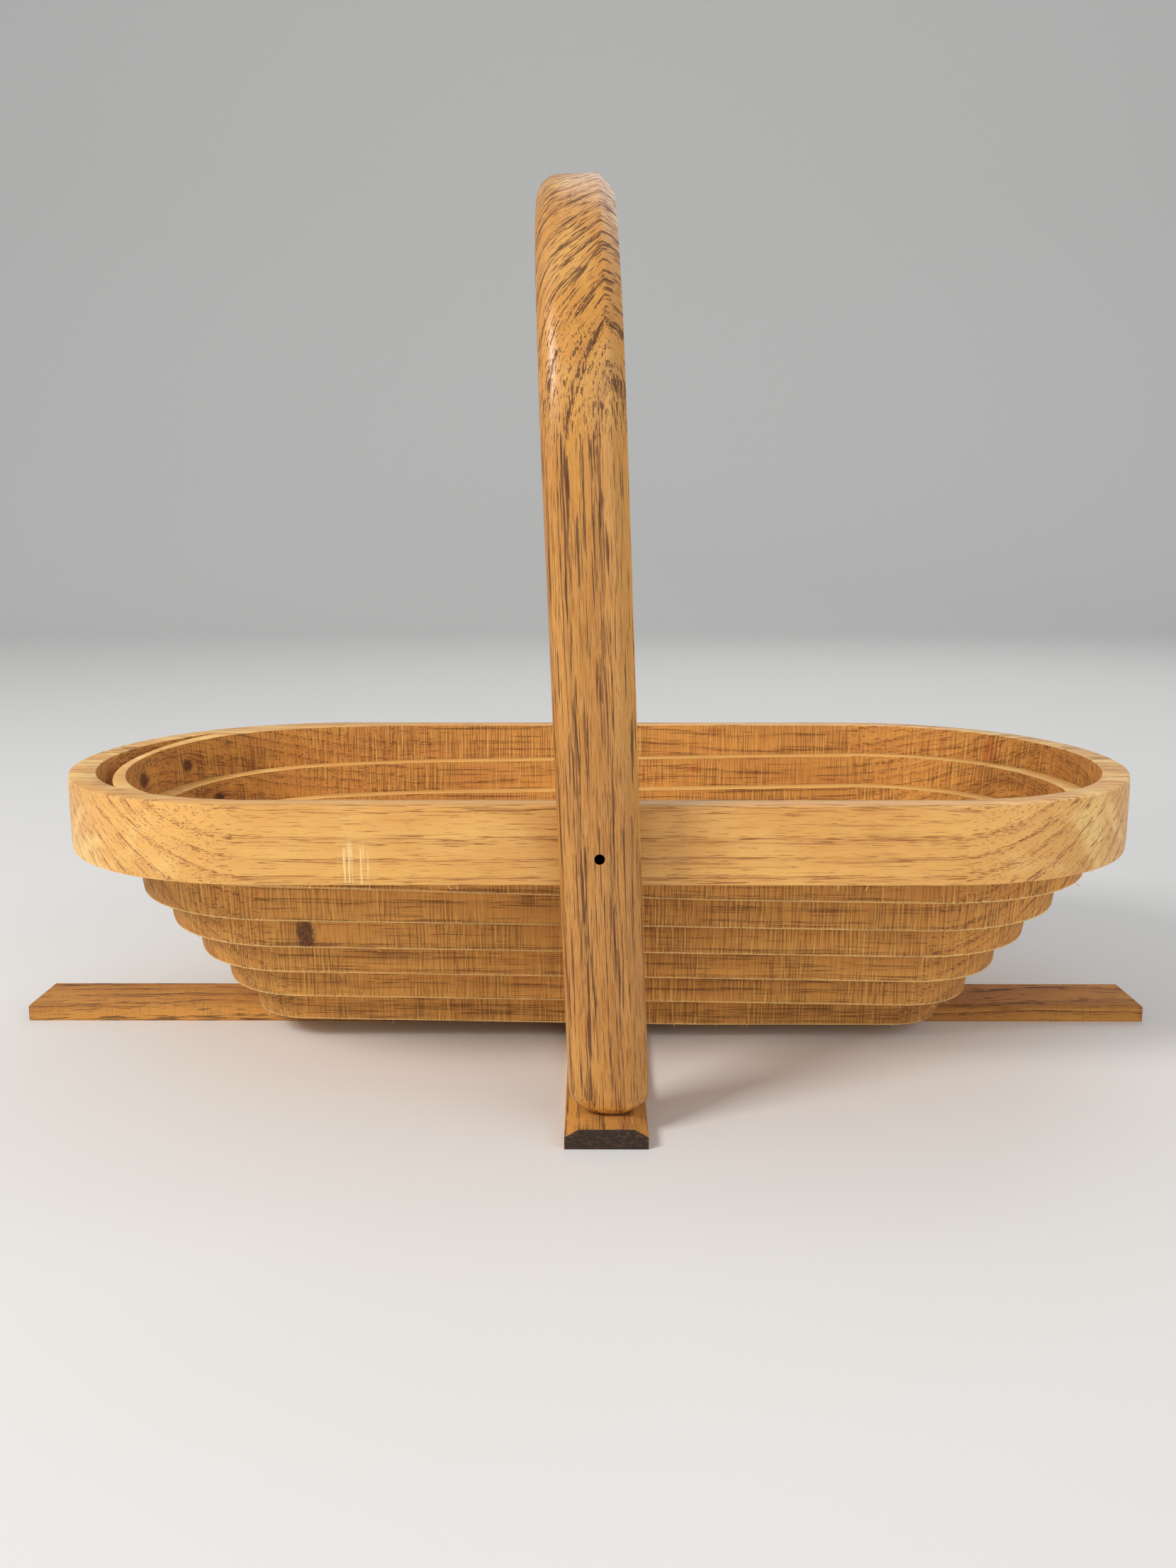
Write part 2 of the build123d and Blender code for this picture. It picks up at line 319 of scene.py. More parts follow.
# Oak figure in millimetres; long grain gives way to rings away from the board's middle
RINGS_PER_MM = 0.27
RING_UNEVEN = 2.6
END_GRAIN_FROM = 75.0
END_GRAIN_TO = 140.0
PITH_R = 60.0
BLEND_LIFT = 1.66
EARLY_OPEN = 0.075
END_OPEN = 0.014

# Saw marks and worn edges in millimetres
SAW_LINES_PER_MM = 1.02
SAW_WANDER = 4.0
WEAR_R = 1.2


def tree_of(name, vector_name, numbers, outputs):
    """A shader node group with a vector and numbers going in and masks coming out."""
    group = bpy.data.node_groups.new(name, "ShaderNodeTree")
    group.interface.new_socket(vector_name, in_out="INPUT", socket_type="NodeSocketVector")
    for label, default in numbers.items():
        socket = group.interface.new_socket(label, in_out="INPUT", socket_type="NodeSocketFloat")
        socket.default_value = default
    for label in outputs:
        group.interface.new_socket(label, in_out="OUTPUT", socket_type="NodeSocketFloat")
    s = Shader(group)
    return s, group.nodes.new("NodeGroupInput").outputs, group.nodes.new("NodeGroupOutput").inputs


class Shader:
    """Short calls for adding and joining shader nodes."""

    def __init__(self, tree):
        self.tree = tree

    def put(self, target, value):
        if hasattr(value, "is_linked"):
            self.tree.links.new(value, target)
        else:
            target.default_value = value

    def add(self, kind, out=0, setup=None, **values):
        node = self.tree.nodes.new(kind)
        for key, value in (setup or {}).items():
            setattr(node, key, value)
        for key, value in values.items():
            self.put(node.inputs[int(key[1:])] if key[1:].isdigit() else node.inputs[key], value)
        return node.outputs[out]

    def math(self, operation, a, b=0.0):
        return self.add("ShaderNodeMath", setup={"operation": operation}, i0=a, i1=b)

    def product(self, a, b):
        return self.math("MULTIPLY", a, b)

    def total(self, a, b):
        return self.math("ADD", a, b)

    def less(self, a, b):
        return self.math("SUBTRACT", a, b)

    def times(self, vector, scale):
        return self.add("ShaderNodeVectorMath", setup={"operation": "MULTIPLY"}, i0=vector, i1=scale)

    def plus(self, vector, other):
        return self.add("ShaderNodeVectorMath", setup={"operation": "ADD"}, i0=vector, i1=other)

    def split(self, vector):
        node = self.tree.nodes.new("ShaderNodeSeparateXYZ")
        self.put(node.inputs[0], vector)
        return node.outputs

    def vector(self, x, y, z):
        return self.add("ShaderNodeCombineXYZ", i0=x, i1=y, i2=z)

    def noise(self, vector, stretch, detail=3.0, rough=0.5, distort=0.0):
        """Noise of a vector whose three parts are first multiplied by the stretch."""
        return self.add(
            "ShaderNodeTexNoise", setup={"noise_dimensions": "3D"}, Vector=self.times(vector, stretch),
            Scale=1.0, Detail=detail, Roughness=rough, Distortion=distort,
        )

    def ramp(self, value, low, high, to_low=0.0, to_high=1.0):
        return self.add(
            "ShaderNodeMapRange", setup={"clamp": True, "interpolation_type": "SMOOTHSTEP"},
            i0=value, i1=low, i2=high, i3=to_low, i4=to_high,
        )

    def mix(self, share, a, b):
        node = self.tree.nodes.new("ShaderNodeMix")
        node.data_type = "RGBA"
        self.put(node.inputs[0], share)
        self.put(node.inputs[6], a)
        self.put(node.inputs[7], b)
        return node.outputs[2]

    def stain(self, base, mask, share, tone):
        """The base colour with a share of another tone where the mask is high."""
        return self.mix(self.product(mask, share), base, tone)

    def bump(self, shader, height, strength, depth):
        self.put(shader.inputs["Normal"], self.add(
            "ShaderNodeBump", Height=height, Strength=strength, Distance=depth * MM
        ))

    def group(self, tree, **values):
        node = self.tree.nodes.new("ShaderNodeGroup")
        node.node_tree = tree
        for key, value in values.items():
            self.put(node.inputs[key.replace("_", " ")], value)
        return node.outputs


def colour(r, g, b):
    """A linear colour from sRGB numbers up to 255."""
    def channel(v):
        v /= 255
        return v / 12.92 if v <= 0.04045 else ((v + 0.055) / 1.055) ** 2.4
    return (channel(r), channel(g), channel(b), 1.0)


def oak_group():
    """Growth rings, rays and pores of oak; the vector is in millimetres, grain along X."""
    s, into, out = tree_of(
        "Oak figure", "Vector", {"Pith height": -46.0, "Pith side": 22.0, "Open": 0.0},
        ("Rings", "Pores", "Streaks", "Rays", "Patches", "Fibre"),
    )
    v = into["Vector"]
    drift = s.noise(v, (0.007, 0.016, 0.016), 2.0)
    split = s.split(v)
    y = s.less(s.total(split[1], s.product(drift, 12.0)), into["Pith side"])
    z = s.less(s.total(split[2], s.product(drift, 16.0)), into["Pith height"])
    radius = s.math("SQRT", s.total(s.product(y, y), s.product(z, z)))
    uneven = s.noise(s.vector(0.0, radius, 0.0), (1.0, 0.11, 1.0), 1.0)
    ring = s.total(s.product(radius, RINGS_PER_MM), s.product(uneven, RING_UNEVEN))
    ring_wave = s.math("FRACT", ring)
    strength = s.ramp(s.noise(v, (0.01, 0.05, 0.05), 2.0), 0.34, 0.66, 0.25, 1.0)
    rise = s.math("POWER", ring_wave, 1.4)
    fall = s.ramp(ring_wave, 0.9, 1.0, 1.0, 0.0)
    rings = s.product(s.product(rise, fall), strength)
    early = s.ramp(ring_wave, 0.5, 0.9)
    angle = s.math("ARCTAN2", y, z)
    round_pith = s.vector(split[0], s.product(angle, PITH_R), radius)
    end_share = s.ramp(s.math("ABSOLUTE", split[0]), END_GRAIN_FROM, END_GRAIN_TO)
    both = s.product(end_share, s.less(1.0, end_share))
    evened = s.total(s.product(both, BLEND_LIFT), 1.0)

    def grain(flat, turned, shift):
        """Strokes along the grain, which lie along the rings towards the board's ends."""
        along = s.noise(s.plus(v, shift), flat, 2.0, 0.55)
        ringed = s.noise(s.plus(round_pith, shift), turned, 2.0, 0.55)
        step = s.product(s.less(ringed, along), end_share)
        swing = s.less(s.total(along, step), 0.5)
        return s.total(s.product(swing, evened), 0.5)

    opened = s.total(s.product(early, EARLY_OPEN), into["Open"])
    opened = s.total(opened, s.product(end_share, END_OPEN))

    def strokes(flat, turned, shift, limit, soft):
        """Dark strokes where the grain passes a limit that early wood lowers."""
        field = grain(flat, turned, shift)
        return s.ramp(s.less(field, s.less(limit, opened)), 0.0, soft)

    pores = strokes((0.11, 3.6, 3.6), (0.12, 0.6, 3.6), (0.0, 0.0, 0.0), limit=0.645, soft=0.035)
    streaks = strokes((0.05, 2.3, 2.3), (0.08, 0.3, 2.7), (31.0, 7.0, 3.0), limit=0.63, soft=0.04)
    ray_field = s.noise(s.vector(split[0], angle, radius), (0.05, 9.0, 0.02), 2.0)
    rays = s.product(s.ramp(ray_field, 0.48, 0.66), s.ramp(end_share, 0.0, 1.0, 0.2, 1.0))
    patches = s.noise(v, (0.013, 0.04, 0.05), 3.0)
    fibre = s.noise(v, (0.25, 5.5, 5.5), 3.0, 0.65)
    for label, value in zip(out.keys(), (rings, pores, streaks, rays, patches, fibre)):
        s.put(out[label], value)
    return s.tree


def saw_group():
    """Marks of a fine blade across a sawn face: upright dark and light lines in loose bunches."""
    s, into, out = tree_of("Saw marks", "Path", {}, ("Cuts", "Ridges", "Fuzz", "Scorch"))
    v = into["Path"]
    bunch = s.ramp(s.noise(v, (0.07, 0.2, 0.05), 2.0), 0.36, 0.60, 0.35, 1.0)
    wander = s.noise(v, (0.16, 0.2, 0.02), 1.0)
    turns = s.total(s.product(s.split(v)[0], SAW_LINES_PER_MM), s.product(wander, SAW_WANDER))
    wave = s.math("SINE", s.product(turns, 2 * pi))
    fine = s.noise(v, (2.3, 0.4, 0.05), 2.0, 0.6)
    field = s.total(fine, s.product(wave, 0.07))
    cuts = s.ramp(field, 0.545, 0.645)
    ridges = s.ramp(field, 0.46, 0.36)
    scorch = s.ramp(s.noise(v, (0.04, 0.3, 0.09), 2.0), 0.60, 0.74)
    fuzz = s.noise(v, (2.1, 2.1, 1.1), 3.0, 0.7)
    values = (s.product(cuts, bunch), s.product(ridges, bunch), fuzz, scorch)
    for label, value in zip(out.keys(), values):
        s.put(out[label], value)
    return s.tree


def spot_mask(s, v, place, reach, rough=0.45):
    """Round patch with a broken rim at one place of the board."""
    near = s.plus(v, tuple(-c for c in place))
    near = s.times(near, tuple(1 / r for r in reach))
    distance = s.add("ShaderNodeVectorMath", out=1, setup={"operation": "LENGTH"}, i0=near)
    broken = s.product(s.noise(v, (0.8, 0.8, 0.8), 3.0, 0.6), 2 * rough)
    return s.ramp(s.total(distance, broken), 1.0 + rough, 0.45 + rough)


def knot_group():
    """Knots, amber marks and a patch of planer chatter at fixed places of the board."""
    s, into, out = tree_of("Knots and marks", "Vector", {}, ("Knots", "Amber", "Chatter"))
    v = into["Vector"]
    for label, spots in (("Knots", KNOTS), ("Amber", AMBER_MARKS)):
        masks = [spot_mask(s, v, place, reach) for place, reach in spots]
        strongest = masks[0]
        for mask in masks[1:]:
            strongest = s.math("MAXIMUM", strongest, mask)
        s.put(out[label], strongest)
    patch = spot_mask(s, v, CHATTER_AT, CHATTER_REACH, 0.2)
    lines = s.ramp(s.noise(v, (1.25, 0.2, 0.05), 1.0), 0.48, 0.60)
    s.put(out["Chatter"], s.product(patch, lines))
    return s.tree


# Places on the board in millimetres: along X, across Y, height above the underside
KNOTS = [
    ((-126.7, 26.6, 13.0), (3.4, 3.0, 2.6)),
    ((-117.7, 28.7, 15.0), (4.0, 3.4, 2.0)),
    ((-74.0, -49.6, 4.2), (3.4, 3.4, 6.4)),
    ((-131.9, 0.3, 13.5), (3.4, 5.0, 3.2)),
    ((98.0, -50.6, 6.0), (2.0, 2.0, 1.4)),
]
AMBER_MARKS = [
    ((133.9, 44.4, 14.0), (4.0, 4.0, 8.0)),
    ((45.2, 67.4, 18.0), (4.5, 3.0, 1.6)),
    ((37.3, 59.7, 16.0), (3.5, 3.0, 1.4)),
    ((-96.0, -68.5, 12.5), (7.0, 4.0, 1.6)),
]
CHATTER_AT = (-55.7, -75.0, 5.0)
CHATTER_REACH = (4.6, 1.1, 7.5)

OAK = oak_group()
SAW = saw_group()
MARKS = knot_group()


def new_material(name):
    material = bpy.data.materials.new(name)
    material.use_nodes = True
    nodes = material.node_tree.nodes
    nodes.clear()
    shader = nodes.new("ShaderNodeBsdfPrincipled")
    output = nodes.new("ShaderNodeOutputMaterial")
    material.node_tree.links.new(shader.outputs[0], output.inputs[0])
    return material, Shader(material.node_tree), shader


def attribute_vector(s, name):
    setup = {"attribute_type": "GEOMETRY", "attribute_name": name}
    return s.add("ShaderNodeAttribute", out=1, setup=setup)


def object_vector(s, grain_axis):
    """Object coordinates in millimetres, turned so that the grain runs along X."""
    v = s.add("ShaderNodeTexCoord", out=3)
    v = s.times(v, (1 / MM, 1 / MM, 1 / MM))
    if grain_axis == "Y":
        split = s.split(v)
        v = s.vector(split[1], split[0], split[2])
    return v


def wear_mask(s):
    """High along the edges, where a rounded normal leaves the flat one."""
    bevel = s.add("ShaderNodeBevel", Radius=WEAR_R * MM)
    flat = s.add("ShaderNodeNewGeometry", out=1)
    dot = s.add("ShaderNodeVectorMath", out=1, setup={"operation": "DOT_PRODUCT"}, i0=bevel, i1=flat)
    return s.ramp(dot, 0.995, 0.93)


def sanded_oak(name, light, dark, pore, roughness, pore_share,
               streak_share=0.0, coat=0.0, opened=0.0, ray_share=0.6):
    """Sanded and oiled oak, with rings, rays and fine pores."""
    material, s, shader = new_material(name)
    v = attribute_vector(s, "board")
    oak = s.group(OAK, Vector=v, Open=opened)
    marks = s.group(MARKS, Vector=v)
    base = s.mix(s.product(oak["Rings"], 0.75), light, dark)
    base = s.mix(s.ramp(oak["Patches"], 0.38, 0.66, 0.0, 0.45), base, dark)
    base = s.stain(base, oak["Rays"], ray_share, colour(250, 212, 132))
    base = s.mix(s.ramp(oak["Fibre"], 0.36, 0.66, 0.0, 0.22), base, colour(246, 202, 120))
    base = s.stain(base, oak["Streaks"], streak_share, pore)
    base = s.stain(base, oak["Pores"], pore_share, pore)
    base = s.stain(base, marks["Amber"], 0.5, colour(196, 112, 38))
    base = s.stain(base, marks["Chatter"], 0.7, colour(252, 226, 160))
    base = s.stain(base, wear_mask(s), 0.22, colour(240, 196, 120))
    s.put(shader.inputs["Base Color"], base)
    dents = s.total(s.product(oak["Pores"], 0.28), s.product(oak["Streaks"], streak_share * 0.4))
    uneven = s.total(roughness, s.product(oak["Fibre"], 0.16))
    s.put(shader.inputs["Roughness"], s.total(uneven, dents))
    shader.inputs["Coat Weight"].default_value = coat
    shader.inputs["Coat Roughness"].default_value = 0.22
    height = s.less(s.product(oak["Fibre"], 0.4), s.total(oak["Pores"], dents))
    height = s.total(height, marks["Chatter"])
    s.bump(shader, height, 0.4, 0.2)
    return material


def sawn_oak(name, light, dark, pore):
    """Oak as the blade left it: long pores, upright saw lines, pale torn fibre at the low edge."""
    material, s, shader = new_material(name)
    v = attribute_vector(s, "board")
    oak = s.group(OAK, Vector=v, Open=0.01)
    saw = s.group(SAW, Path=attribute_vector(s, "path"))
    marks = s.group(MARKS, Vector=v)
    base = s.mix(s.product(oak["Rings"], 0.7), light, dark)
    base = s.mix(s.ramp(oak["Patches"], 0.38, 0.66, 0.0, 0.5), base, dark)
    base = s.stain(base, saw["Scorch"], 0.35, pore)
    base = s.mix(s.ramp(saw["Fuzz"], 0.42, 0.70, 0.0, 0.25), base, light)
    base = s.stain(base, oak["Pores"], 0.4, pore)
    base = s.stain(base, oak["Streaks"], 0.62, pore)
    base = s.stain(base, marks["Amber"], 0.6, colour(176, 84, 28))
    base = s.stain(base, saw["Cuts"], 0.52, colour(124, 68, 22))
    base = s.stain(base, saw["Ridges"], 0.48, colour(244, 192, 100))
    knot_tone = s.mix(s.ramp(saw["Fuzz"], 0.4, 0.62), colour(44, 22, 10), colour(116, 58, 26))
    base = s.stain(base, marks["Knots"], 0.88, knot_tone)
    above = s.less(s.split(v)[2], s.product(saw["Fuzz"], 0.9))
    torn = s.ramp(above, 0.15, -0.1, 0.0, 0.65)
    base = s.mix(torn, base, colour(250, 212, 138))
    s.put(shader.inputs["Base Color"], base)
    s.put(shader.inputs["Roughness"], s.total(0.60, s.product(saw["Fuzz"], 0.3)))
    height = s.less(s.product(saw["Ridges"], 0.8), saw["Cuts"])
    height = s.total(height, s.product(saw["Fuzz"], 0.7))
    height = s.less(height, s.product(oak["Streaks"], 0.8))
    s.bump(shader, height, 0.8, 0.25)
    return material


def bar_oak(name, grain_axis):
    """Darker rough oak of the foot bars, with near-black open grain at the ends and worn edges."""
    material, s, shader = new_material(name)
    v = object_vector(s, grain_axis)
    oak = s.group(OAK, Vector=v, Pith_height=-64.0, Pith_side=-20.0, Open=-0.02)
    saw = s.group(SAW, Path=v)
    base = s.mix(oak["Rings"], colour(214, 150, 66), colour(164, 104, 42))
    base = s.mix(s.ramp(oak["Patches"], 0.36, 0.66, 0.0, 0.4), base, colour(146, 84, 34))
    base = s.mix(s.ramp(saw["Fuzz"], 0.42, 0.7, 0.0, 0.3), base, colour(214, 148, 76))
    base = s.stain(base, saw["Cuts"], 0.25, colour(84, 46, 24))
    base = s.stain(base, oak["Streaks"], 0.75, colour(66, 36, 20))
    base = s.stain(base, oak["Pores"], 0.7, colour(54, 28, 16))
    facing = s.split(s.add("ShaderNodeNewGeometry", out=1))
    end_grain = s.ramp(s.math("ABSOLUTE", facing[1 if grain_axis == "Y" else 0]), 0.7, 0.9)
    base = s.stain(base, end_grain, 0.96, colour(20, 11, 8))
    scratched = s.ramp(s.noise(v, (1.0, 0.5, 2.4), 3.0, 0.7, 1.5), 0.54, 0.62, 0.0, 0.6)
    base = s.stain(base, end_grain, scratched, colour(120, 80, 46))
    base = s.stain(base, wear_mask(s), 0.35, colour(70, 40, 24))
    s.put(shader.inputs["Base Color"], base)
    s.put(shader.inputs["Roughness"], s.total(0.58, s.product(saw["Fuzz"], 0.35)))
    height = s.less(s.total(oak["Fibre"], s.product(saw["Fuzz"], 0.7)),
                    s.total(oak["Pores"], oak["Streaks"]))
    s.bump(shader, height, 0.7, 0.3)
    return material


def splinter_oak(name):
    """Pale raw fibre that hangs from the sawn edges."""
    material, s, shader = new_material(name)
    v = object_vector(s, "X")
    tone = s.noise(v, (0.6, 0.6, 0.6), 2.0)
    base = s.mix(s.ramp(tone, 0.35, 0.65), colour(248, 214, 146), colour(206, 150, 84))
    s.put(shader.inputs["Base Color"], base)
    s.put(shader.inputs["Roughness"], s.ramp(tone, 0.3, 0.7, 0.6, 0.8))
    return material


def dull_steel(name):
    """Steel gone brown in spots."""
    material, s, shader = new_material(name)
    v = object_vector(s, "X")
    spots = s.noise(v, (1.6, 1.6, 1.6), 4.0, 0.6)
    base = s.mix(s.ramp(spots, 0.4, 0.65), colour(72, 62, 54), colour(38, 28, 22))
    s.put(shader.inputs["Base Color"], base)
    s.put(shader.inputs["Metallic"], s.ramp(spots, 0.7, 0.4, 0.3, 0.9))
    s.put(shader.inputs["Roughness"], s.ramp(spots, 0.3, 0.7, 0.38, 0.75))
    s.bump(shader, spots, 0.4, 0.1)
    return material


rim_oak = sanded_oak(
    "Rim oak", colour(224, 166, 84), colour(200, 134, 60), colour(134, 74, 24),
    roughness=0.34, pore_share=0.75, streak_share=0.45, coat=0.1, opened=0.012,
)
ledge_oak = sanded_oak(
    "Ledge oak", colour(232, 178, 98), colour(210, 150, 78), colour(158, 100, 48),
    roughness=0.42, pore_share=0.45,
)
handle_oak = sanded_oak(
    "Handle oak", colour(198, 132, 48), colour(150, 86, 26), colour(72, 30, 4),
    roughness=0.3, pore_share=0.6, streak_share=0.8, coat=0.15, opened=0.035, ray_share=0.2,
)
wall_oak = sawn_oak("Sawn oak", colour(218, 152, 70), colour(182, 116, 48), colour(108, 56, 18))
fibre_oak = splinter_oak("Torn fibre")
long_bar_oak = bar_oak("Long bar oak", "X")
short_bar_oak = bar_oak("Short bar oak", "Y")
nail_steel = dull_steel("Nail steel")


# Torn fibres along the sawn low edges


def splinter_tree():
    """Bent tapering splinters on the frayed points of a piece, joined to it."""
    tree = bpy.data.node_groups.new("Torn fibres", "GeometryNodeTree")
    tree.interface.new_socket("Geometry", in_out="INPUT", socket_type="NodeSocketGeometry")
    for label, kind, value in (
        ("Share", "NodeSocketFloat", 0.3), ("Length", "NodeSocketFloat", 1.6 * MM),
        ("Thickness", "NodeSocketFloat", 0.07 * MM), ("Seed", "NodeSocketInt", 1),
        ("Fibre", "NodeSocketMaterial", None),
    ):
        socket = tree.interface.new_socket(label, in_out="INPUT", socket_type=kind)
        if value is not None:
            socket.default_value = value
    tree.interface.new_socket("Geometry", in_out="OUTPUT", socket_type="NodeSocketGeometry")
    nodes, link = tree.nodes, tree.links.new
    into, out = nodes.new("NodeGroupInput").outputs, nodes.new("NodeGroupOutput").inputs

    def node(kind, links=(), **setup):
        made = nodes.new(kind)
        for key, value in setup.items():
            setattr(made, key, value)
        for key, value in links:
            if hasattr(value, "is_linked"):
                link(value, made.inputs[key])
            else:
                made.inputs[key].default_value = value
        return made

    frayed = node("GeometryNodeInputNamedAttribute", [(0, "frayed")], data_type="FLOAT").outputs[0]
    chosen = node("FunctionNodeRandomValue", [
        (6, into["Share"]), (8, into["Seed"]),
    ], data_type="BOOLEAN").outputs[3]
    both = node("FunctionNodeBooleanMath", [(0, chosen), (1, frayed)], operation="AND").outputs[0]
    points = node("GeometryNodeMeshToPoints", [(0, into["Geometry"]), (1, both)]).outputs[0]
    bend = node("GeometryNodeCurveQuadraticBezier", [
        (0, 5), (1, (0.0, 0.0, 0.0)), (2, (0.25, 0.0, -0.45)), (3, (0.75, 0.08, -0.75)),
    ]).outputs[0]
    along = node("GeometryNodeSplineParameter").outputs[0]
    taper = node("ShaderNodeMapRange", [(0, along), (1, 0.0), (2, 1.0), (3, 1.0), (4, 0.25)]).outputs[0]
    bend = node("GeometryNodeSetCurveRadius", [(0, bend), (2, taper)]).outputs[0]
    thin = node("ShaderNodeMath", [
        (0, into["Thickness"]), (1, into["Length"]),
    ], operation="DIVIDE").outputs[0]
    section = node("GeometryNodeCurvePrimitiveCircle", [(0, 4), (4, thin)]).outputs[0]
    splinter = node("GeometryNodeCurveToMesh", [(0, bend), (1, section)]).outputs[0]
    turn = node("FunctionNodeRandomValue", [
        (0, (-0.5, -0.6, 0.0)), (1, (0.5, 0.9, 2 * pi)), (8, into["Seed"]),
    ], data_type="FLOAT_VECTOR").outputs[0]
    size = node("FunctionNodeRandomValue", [
        (2, 0.35), (3, 1.0), (8, into["Seed"]),
    ], data_type="FLOAT").outputs[1]
    size = node("ShaderNodeMath", [(0, size), (1, into["Length"])], operation="MULTIPLY").outputs[0]
    placed = node("GeometryNodeInstanceOnPoints", [
        (0, points), (2, splinter), (5, turn), (6, size),
    ]).outputs[0]
    solid = node("GeometryNodeRealizeInstances", [(0, placed)]).outputs[0]
    dressed = node("GeometryNodeSetMaterial", [(0, solid), (2, into["Fibre"])]).outputs[0]
    joined = node("GeometryNodeJoinGeometry")
    link(dressed, joined.inputs[0])
    link(into["Geometry"], joined.inputs[0])
    link(joined.outputs[0], out["Geometry"])
    return tree


SPLINTERS = splinter_tree()


def fray(obj, share, seed):
    """Adds splinters to a piece and makes it a plain mesh again."""
    modifier = obj.modifiers.new("Splinters", "NODES")
    modifier.node_group = SPLINTERS
    values = {"Share": share, "Seed": seed, "Fibre": fibre_oak}
    for socket in SPLINTERS.interface.items_tree:
        if socket.in_out == "INPUT" and socket.name in values:
            modifier[socket.identifier] = values[socket.name]
    evaluated = obj.evaluated_get(bpy.context.evaluated_depsgraph_get())
    mesh = bpy.data.meshes.new_from_object(evaluated)
    obj.modifiers.clear()
    old = obj.data
    obj.data = mesh
    mesh.name = old.name
    bpy.data.meshes.remove(old)


# Rim


def rim_inner(u):
    """Offset of the rim's inner wall along its one turn."""
    return RIM_W + PITCH * turns_in(min(u, ROOT + 1 - HAIR))


rim = band_piece(
    "Rim", ROOT, ROOT + 1, lambda u: 0.0, rim_inner, lambda u: RIM_TOP,
    [rim_oak, wall_oak], lean1=0.0, edges=RIM_EDGES, rough=RIM_ROUGH,
)
# The rim's outer face is sanded like its top
for face in rim.data.polygons:
    x, y, _ = face.center / MM
    outward = face.normal.x * (x - SHIFT) + face.normal.y * y
    if outward > 0 and abs(face.normal.z) < 0.9:
        face.material_index = 0
fray(rim, RIM_FRAY, 3)
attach(rim, "rim")
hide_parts("rim")


# Strip, one piece for each link


def strip_outer(u):
    """Offset of the strip's outer wall, past the cut and its wide start."""
    return RIM_W + KERF - CLOSER + PITCH * turns_in(u) + slot_at(u - ROOT)


def strip_inner(u):
    """Offset of the strip's inner wall."""
    return RIM_W + PITCH + CLOSER * 0.5 + PITCH * turns_in(u)


cuts = []
for turn in range(TURNS + 1):
    marks = [turn + i * LINK for i in range(LINKS_BETWEEN_JOGS + 1)]
    if turn == 0:
        marks += [(i + 0.5) * LINK for i in range(QUICK_LINKS)]
    if turn == TURNS:
        marks.append(turn + (QUICK_LINKS - 0.5) * LINK)
    cuts += [m for m in marks if m < STRIP_TURNS + HAIR]
cuts = sorted(cuts)

for number, (t1, t2) in enumerate(zip(cuts, cuts[1:]), start=1):
    piece = band_piece(
        f"Strip_{number:02d}", ROOT + t1, ROOT + t2 - END_GAP / LAP, strip_outer, strip_inner,
        lambda u: RIM_TOP - drop_at(u - ROOT), [ledge_oak, wall_oak],
    )
    fray(piece, STRIP_FRAY, number + 10)
    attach(piece, f"link_{number:02d}")
    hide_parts(f"strip_{number:02d}")


# Base plate


def base_piece():
    """Solid plate inside the last cut; its edge steps where the strip runs into it."""
    start = ROOT + STRIP_TURNS
    offset = RIM_W + KERF + TURNS * PITCH - CLOSER
    n = ceil(LAP / STEP)
    places = {start + i / n for i in range(n)} | set(bends_between(start, start + 1))
    us = [*sorted(places), start + 1 - HAIR]
    fray_level = BASE_EDGE[-2][0]
    verts, board, path, frayed, faces = [], [], [], [], []
    for u in us:
        x, y, nx, ny = outline_at(u)
        o = offset + PITCH * (turns_in(u) - TURNS)
        for level, inset in BASE_EDGE:
            wave = smooth_wave(x * WAVE_ALONG, y * WAVE_ALONG, level * BASE_WAVE_UP, seed=3.0)
            p = o + LEAN * level + inset + SAWN_ROUGH * wave
            px, py = x - nx * p + SHIFT, y - ny * p
            verts.append((px, py, BASE_TOP - BOARD_T * level))
            board.append((px, py, BOARD_T - BOARD_T * level))
            path.append((u * LAP, p, BOARD_T - BOARD_T * level))
            frayed.append(fray_at(px, py) if level == fray_level else 0.0)
    size, count = len(BASE_EDGE), len(us)
    for i in range(count):
        a, b = i * size, (i + 1) % count * size
        faces += [(a + j, a + j + 1, b + j + 1, b + j) for j in range(size - 1)]
    kinds = [1] * len(faces) + [0, 0]
    faces.append(tuple(i * size for i in range(count)))
    faces.append(tuple(i * size + size - 1 for i in reversed(range(count))))
    return new_object("Base_plate", verts, faces, kinds, board, [ledge_oak, wall_oak], path, frayed)


base = base_piece()
fray(base, BASE_FRAY, 5)
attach(base, "base")
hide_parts("base_plate")


# Handle


def arch_runs(half_l, half_w, corner_r, end_r, leg):
    """Points along one side of the arch, in five runs from one foot to the other."""
    corner_y, end_x = half_w - corner_r, half_l - end_r
    corner_x = end_x + sqrt((end_r - corner_r) ** 2 - corner_y**2)
    split = atan2(corner_y, corner_x - end_x)

    def at(run, share):
        """Distance above the pivot and place along Y."""
        if run == 0:
            return -leg + (corner_x + leg) * share, -half_w
        if run == 4:
            return corner_x - (corner_x + leg) * share, half_w
        if run == 2:
            angle = -split + 2 * split * share
            return end_x + end_r * cos(angle), end_r * sin(angle)
        side = -1 if run == 1 else 1
        angle = (-pi / 2 if run == 1 else split) + (pi / 2 - split) * share
        return corner_x + corner_r * cos(angle), side * corner_y + corner_r * sin(angle)

    return at


def foot_trim(low, across, up):
    """How far a rounded foot corner draws in at a height above the sole."""
    if low >= up:
        return 0.0
    return across * (1 - sqrt(max(0.0, 1 - (1 - low / up) ** 2)))


